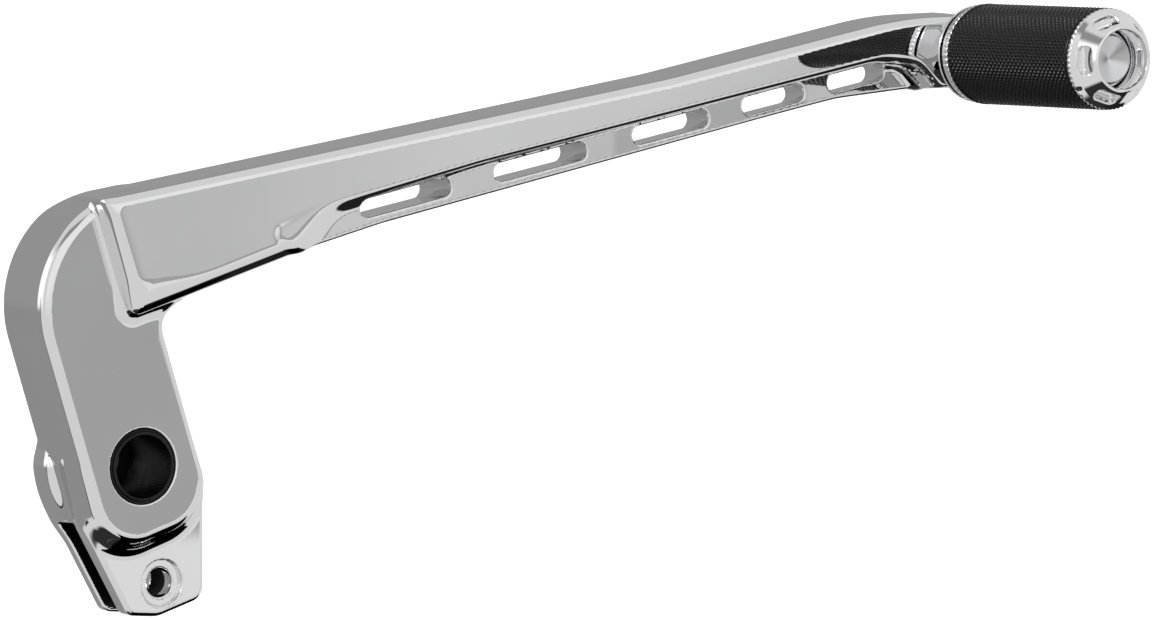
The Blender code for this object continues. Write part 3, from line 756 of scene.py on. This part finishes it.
def black_rubber():
    """Return the black rubber of the grip, which the black polymer pieces share."""
    tree, shader, material = new_material("grip_rubber_black", (0.02, 0.02, 0.022), 0.5, 0.0)
    colour = tint(tree, noise(tree, 300.0, 3.0), (0.001, 0.001, 0.0012), (0.004, 0.004, 0.0048))
    tree.links.new(colour, shader.inputs["Base Color"])
    shader.inputs["Specular IOR Level"].default_value = 0.22
    tree.links.new(spread(tree, noise(tree, 900.0, 3.0), 0.2, 0.32), shader.inputs["Roughness"])
    bump(tree, shader, noise(tree, 4000.0, 2.0), 0.00003, 0.4)
    return material


def finish_cad_nodes(materials):
    """Give every CAD node that stays its material."""
    for node, material in materials.items():
        item = frame["nodes"][node]
        item.data.materials.clear()
        item.data.materials.append(material)


# ---------------------------------------------------------------- studio

CAMERA_PLACE = Vector((-1.3079, -2.2058, 0.2684))
CAMERA_ACROSS = Vector((0.8346, -0.5509, 0.0))
CAMERA_UP = Vector((0.0486, 0.0736, 0.9961))
CAMERA_BACK = Vector((-0.5488, -0.8313, 0.0882))
LENS = 296.36
FLOOR = -0.046
FLOOR_REACH = 30.0
FLOOR_GLOW = 0.5


def camera():
    """Add the long-lens camera."""
    data = bpy.data.cameras.new("camera")
    data.sensor_width = 36.0
    data.lens = LENS
    data.clip_start = 0.1
    data.clip_end = 60.0
    item = bpy.data.objects.new("camera", data)
    turn = Matrix((CAMERA_ACROSS, CAMERA_UP, CAMERA_BACK)).transposed().to_4x4()
    item.matrix_world = Matrix.Translation(CAMERA_PLACE) @ turn
    bpy.context.scene.collection.objects.link(item)
    bpy.context.scene.camera = item


def math_node(tree, operation, *values):
    """Add a math node whose inputs are numbers or sockets."""
    node = tree.nodes.new("ShaderNodeMath")
    node.operation = operation
    for socket, value in zip(node.inputs, values):
        if isinstance(value, (int, float)):
            socket.default_value = value
        else:
            tree.links.new(value, socket)
    return node.outputs[0]


def fade(tree, value, half, soft):
    """Return 1 where value is within half of zero, falling softly to 0 outside."""
    ramp = tree.nodes.new("ShaderNodeMapRange")
    ramp.interpolation_type = "SMOOTHSTEP"
    ramp.inputs["From Min"].default_value = half - soft
    ramp.inputs["From Max"].default_value = half + soft
    ramp.inputs["To Min"].default_value = 1.0
    ramp.inputs["To Max"].default_value = 0.0
    tree.links.new(math_node(tree, "ABSOLUTE", value), ramp.inputs["Value"])
    return ramp.outputs["Result"]


def below(tree, value, limit, soft):
    """Return 1 where a value between -1 and 1 is under a limit, falling softly to 0 above it."""
    return fade(tree, math_node(tree, "ADD", value, 1.0), 1.0 + limit, soft)


def blend_level(tree, mask, under, over):
    """Mix two brightness levels by a mask."""
    mix = tree.nodes.new("ShaderNodeMix")
    mix.data_type = "FLOAT"
    for socket, value in zip(mix.inputs[:1] + mix.inputs[2:4], (mask, under, over)):
        if isinstance(value, (int, float)):
            socket.default_value = value
        else:
            tree.links.new(value, socket)
    return mix.outputs[0]


# The room's screens: azimuth from the front towards +X, elevation, half width, half height and
# softness in degrees, then brightness. Later ones lie over earlier ones.
ROOM_LEVEL = 0.76
SCREENS = (
    (0.0, 25.0, 40.0, 28.0, 8.0, 0.95),
    (-105.0, 18.0, 36.0, 20.0, 6.0, 1.25),
    (-45.0, 52.0, 32.0, 10.0, 5.0, 0.30),
    (180.0, -8.0, 42.0, 52.0, 2.5, 0.34),
    (-137.0, -22.0, 42.0, 18.0, 2.5, 0.31),
    (150.0, -17.0, 9.0, 15.0, 2.0, 0.90),
    (-98.0, 27.0, 15.0, 5.0, 3.0, 20.0),
    (-92.0, -20.0, 3.0, 25.0, 1.0, 0.06),
    (100.0, -52.0, 44.0, 15.0, 1.5, 0.015),
    (0.0, -84.0, 181.0, 24.0, 4.0, 0.03),
)


def world():
    """Light everything from a soft pale room with grey, white and black screens."""
    room = bpy.data.worlds.new("room")
    room.use_nodes = True
    tree = room.node_tree
    where = tree.nodes.new("ShaderNodeTexCoord")
    split = tree.nodes.new("ShaderNodeSeparateXYZ")
    tree.links.new(where.outputs["Generated"], split.inputs["Vector"])
    x, y, z = split.outputs
    azimuth = math_node(tree, "ARCTAN2", x, math_node(tree, "MULTIPLY", y, -1.0))
    elevation = math_node(tree, "ARCSINE", z)
    level = ROOM_LEVEL
    for turn, height, half_width, half_height, soft, brightness in SCREENS:
        aside = math_node(tree, "SUBTRACT", azimuth, math.radians(turn))
        aside = math_node(tree, "WRAP", aside, math.pi, -math.pi)
        above = math_node(tree, "SUBTRACT", elevation, math.radians(height))
        across = fade(tree, aside, math.radians(half_width), math.radians(soft))
        upright = fade(tree, above, math.radians(half_height), math.radians(soft))
        mask = math_node(tree, "MULTIPLY", across, upright)
        level = blend_level(tree, mask, level, brightness)
    back = tree.nodes["Background"]
    tree.links.new(level, back.inputs["Strength"])
    back.inputs["Color"].default_value = (1.0, 1.0, 1.0, 1.0)
    bpy.context.scene.world = room


# The screen that the flat faces mirror: its brightness along the arm, by x in metres, then in front
# of the hub and of the fork. The arm's and the hub's follow greys measured in the photo, made linear
# and divided by the chrome's 0.80. The screen is set up for the main camera.
SCREEN_AWAY = 0.6
SCREEN_LEFT = -0.10
SCREEN_RIGHT = 0.36
SCREEN_LOW = -0.12
SCREEN_HIGH = 0.20
ARM_LEVELS = ((-0.03, 0.59), (0.02, 0.58), (0.05, 0.63), (0.10, 0.69), (0.13, 0.69), (0.15, 0.64),
              (0.162, 0.98), (0.182, 1.10), (0.195, 0.58), (0.215, 0.47), (0.25, 0.60))
HUB_LEVEL = 0.42
HUB_TOP = 0.048
HUB_SIDE = -0.011
HUB_SIDE_HEIGHT = 0.071
HUB_SIDE_SLANT = 0.35
FORK_LEVEL = 0.85
FORK_TOP = -0.021
LEVEL_BLUR = 0.003
SIDE_BLUR = 0.0015
FADE_SIDES = (0.44, 0.06)
FADE_ENDS = (0.42, 0.08)
BLACK_CARD = ((0.02, -0.14, -0.12), (0.20, -0.08, -0.12), (0.16, 0.10, -0.12), (0.0, 0.06, -0.12))


def sheet(name, corners):
    """Return a flat four-cornered object that belongs to the studio."""
    mesh = bpy.data.meshes.new(name)
    mesh.from_pydata(corners, [], [(0, 1, 2, 3)])
    item = bpy.data.objects.new(name, mesh)
    bpy.context.scene.collection.objects.link(item)
    return item


def show_in_reflections_only(item):
    """Hide a studio sheet from the camera, from matt surfaces and from shadows."""
    item.visible_camera = False
    item.visible_diffuse = False
    item.visible_shadow = False


def screen_corners():
    """Return the corners whose mirror image, for the camera, frames the arm's front face."""
    face_y = ARM_FRONT * MM
    spread_out = 1.0 + SCREEN_AWAY / (face_y - CAMERA_PLACE.y)
    corners = []
    for x, z in ((SCREEN_LEFT, SCREEN_LOW), (SCREEN_RIGHT, SCREEN_LOW),
                 (SCREEN_RIGHT, SCREEN_HIGH), (SCREEN_LEFT, SCREEN_HIGH)):
        corners.append((CAMERA_PLACE.x + (x - CAMERA_PLACE.x) * spread_out, face_y - SCREEN_AWAY,
                        CAMERA_PLACE.z + (z - CAMERA_PLACE.z) * spread_out))
    return corners


def arm_brightness(tree, across, width):
    """Return the screen's brightness along the arm, by the share of the way across the screen."""
    ramp = tree.nodes.new("ShaderNodeValToRGB")
    ramp.color_ramp.interpolation = "EASE"
    elements = ramp.color_ramp.elements
    elements.remove(elements[1])
    for index, (x, level) in enumerate(ARM_LEVELS):
        element = elements[0] if index == 0 else elements.new(0.5)
        element.position = (x - SCREEN_LEFT) / width
        element.color = (level, level, level, 1.0)
    tree.links.new(across, ramp.inputs["Fac"])
    level = tree.nodes.new("ShaderNodeSeparateColor")
    tree.links.new(ramp.outputs["Color"], level.inputs["Color"])
    return level.outputs[0]


def screen_brightness(tree, across, upwards):
    """Return the screen's brightness: the arm's part, left and below it the hub's, then the fork's."""
    width = SCREEN_RIGHT - SCREEN_LEFT
    level = arm_brightness(tree, across, width)
    side = math_node(tree, "MULTIPLY_ADD", across, width, SCREEN_LEFT)
    height = math_node(tree, "MULTIPLY_ADD", upwards, SCREEN_HIGH - SCREEN_LOW, SCREEN_LOW)
    above = math_node(tree, "SUBTRACT", height, HUB_SIDE_HEIGHT)
    slant = math_node(tree, "MULTIPLY_ADD", above, HUB_SIDE_SLANT, side)
    low = below(tree, height, HUB_TOP, LEVEL_BLUR)
    left = below(tree, slant, HUB_SIDE, SIDE_BLUR)
    lowest = below(tree, height, FORK_TOP, LEVEL_BLUR)
    mixed = blend_level(tree, math_node(tree, "MAXIMUM", low, left), level, HUB_LEVEL)
    return blend_level(tree, lowest, mixed, FORK_LEVEL)


def screen_material():
    """Return the screen's glow, which turns clear towards the screen's edges."""
    material = bpy.data.materials.new("mirror_screen")
    material.use_nodes = True
    tree = material.node_tree
    tree.nodes.clear()
    where = tree.nodes.new("ShaderNodeTexCoord")
    split = tree.nodes.new("ShaderNodeSeparateXYZ")
    tree.links.new(where.outputs["Generated"], split.inputs["Vector"])
    across = split.outputs["X"]
    upwards = split.outputs["Z"]
    glow = tree.nodes.new("ShaderNodeEmission")
    tree.links.new(screen_brightness(tree, across, upwards), glow.inputs["Strength"])
    clear = tree.nodes.new("ShaderNodeBsdfTransparent")
    sides = fade(tree, math_node(tree, "SUBTRACT", across, 0.5), *FADE_SIDES)
    ends = fade(tree, math_node(tree, "SUBTRACT", upwards, 0.5), *FADE_ENDS)
    mix = tree.nodes.new("ShaderNodeMixShader")
    tree.links.new(math_node(tree, "MULTIPLY", sides, ends), mix.inputs[0])
    tree.links.new(clear.outputs[0], mix.inputs[1])
    tree.links.new(glow.outputs[0], mix.inputs[2])
    out = tree.nodes.new("ShaderNodeOutputMaterial")
    tree.links.new(mix.outputs[0], out.inputs["Surface"])
    return material


def mirror_screen():
    """Hang the screen that the lever's flat faces mirror towards the camera."""
    item = sheet("mirror_screen", screen_corners())
    item.data.materials.append(screen_material())
    show_in_reflections_only(item)


def black_card():
    """Lay the black card that darkens the hollow round under the hub."""
    item = sheet("black_card", BLACK_CARD)
    shader, material = new_material("card_black", (0.0, 0.0, 0.0), 1.0, 0.0)[1:]
    shader.inputs["Specular IOR Level"].default_value = 0.0
    item.data.materials.append(material)
    show_in_reflections_only(item)


def floor():
    """Lay a wide pale floor."""
    signs = ((-1.0, -1.0), (1.0, -1.0), (1.0, 1.0), (-1.0, 1.0))
    item = sheet("floor", [(x * FLOOR_REACH, y * FLOOR_REACH, FLOOR) for x, y in signs])
    shader, material = new_material("floor_pale", (0.85, 0.85, 0.85), 0.8, 0.0)[1:]
    shader.inputs["Emission Color"].default_value = (1.0, 1.0, 1.0, 1.0)
    shader.inputs["Emission Strength"].default_value = FLOOR_GLOW
    item.data.materials.append(material)
    item.visible_glossy = False


def main():
    """Build the looks."""
    chrome = metal("chrome", (0.78, 0.78, 0.785), (0.84, 0.84, 0.845), 0.015, 0.035)
    bright = metal("chrome_bright", (0.80, 0.80, 0.805), (0.88, 0.88, 0.885), 0.02, 0.05)
    turned = metal("chrome_turned", (0.60, 0.60, 0.61), (0.72, 0.72, 0.73), 0.12, 0.2, 600.0)
    steel = metal("steel_black", (0.02, 0.02, 0.021), (0.045, 0.045, 0.047), 0.3, 0.45, 500.0)
    zinc = metal("steel_zinc", (0.42, 0.43, 0.45), (0.6, 0.61, 0.62), 0.25, 0.4, 400.0)
    bronze = metal("bronze", (0.42, 0.28, 0.14), (0.6, 0.42, 0.22), 0.3, 0.45, 300.0)
    rubber = black_rubber()
    lever_body(chrome, steel)
    toe_peg(bright, turned, rubber)
    finish_cad_nodes({
        "pivot_sleeve": steel, "front_pivot_bushing": rubber, "rear_pivot_bushing": rubber,
        "peg_mount_bolt": zinc, "peg_lock_washer": zinc, "inner_thrust_washer": rubber,
        "outer_thrust_washer": rubber, "inner_peg_bush": bronze, "outer_peg_bush": bronze,
        "peg_core": turned, "cap_set_screw": steel,
    })
    camera()
    world()
    floor()
    mirror_screen()
    black_card()
    bpy.context.scene.view_settings.view_transform = "Standard"


main()
